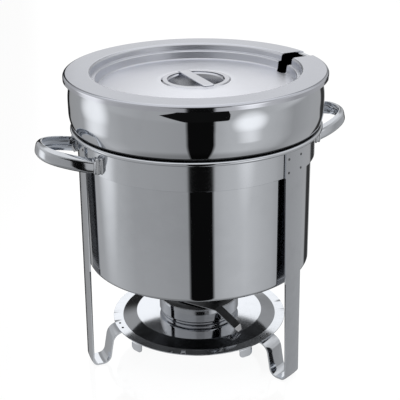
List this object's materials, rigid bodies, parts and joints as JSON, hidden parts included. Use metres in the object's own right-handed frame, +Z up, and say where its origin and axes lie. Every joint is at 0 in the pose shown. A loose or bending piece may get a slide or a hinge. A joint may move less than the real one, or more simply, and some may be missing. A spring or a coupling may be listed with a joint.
{
  "type": "soup chafer",
  "caption": "Round steel soup chafer: lidded food pan nested in a water pan on a strip-leg stand with loop handles, over a small fuel burner with a swing shutter.",
  "frame": {"origin": "on the floor under the common axis of the pans and the stand", "axes": "+Z up along the pan axis, -Y towards the viewer in the picture, +X to the viewer's right"},
  "size_m": [0.3566, 0.3, 0.3515],
  "materials": {
    "polished_steel": "mirror polished stainless steel",
    "stand_steel": "polished stainless steel strip",
    "lid_steel": "satin polished stainless steel",
    "burner_steel": "polished stainless steel"
  },
  "bodies": {
    "stand": {"collar_band": "stand_steel", "left_leg": "stand_steel", "right_leg": "stand_steel", "rear_leg": "stand_steel", "collar_rivets": "stand_steel", "dish_rivets": "stand_steel", "burner_dish": "polished_steel", "dish_tabs": "stand_steel", "left_handle": "stand_steel", "right_handle": "stand_steel", "handle_brackets": "stand_steel"},
    "water_pan_body": {"water_pan": "polished_steel"},
    "food_pan_body": {"food_pan": "polished_steel", "food_pan_belly": "polished_steel"},
    "lid": {"lid_plate": "lid_steel", "lid_cup": "lid_steel", "lid_strap": "lid_steel"},
    "burner": {"burner_can": "burner_steel", "burner_cover": "burner_steel", "shutter_pivot": "burner_steel"},
    "shutter": {"shutter_plate": "burner_steel", "shutter_handle": "burner_steel"}
  },
  "joints": [
    {"name": "water_pan_lift", "type": "slide", "parent": "stand", "child": "water_pan_body", "axis": [0, 0, 1], "range_m": [0, 0.19]},
    {"name": "food_pan_lift", "type": "slide", "parent": "water_pan_body", "child": "food_pan_body", "axis": [0, 0, 1], "range_m": [0, 0.17]},
    {"name": "lid_lift", "type": "slide", "parent": "food_pan_body", "child": "lid", "axis": [0, 0, 1], "range_m": [0, 0.1]},
    {"name": "burner_lift", "type": "slide", "parent": "stand", "child": "burner", "axis": [0, 0, 1], "range_m": [0, 0.04]},
    {"name": "shutter_swing", "type": "hinge", "parent": "burner", "child": "shutter", "pos_m": [-0.02463, 0.03152, 0.0685], "axis": [0, 0, 1], "range_deg": [0, 60]}
  ]
}
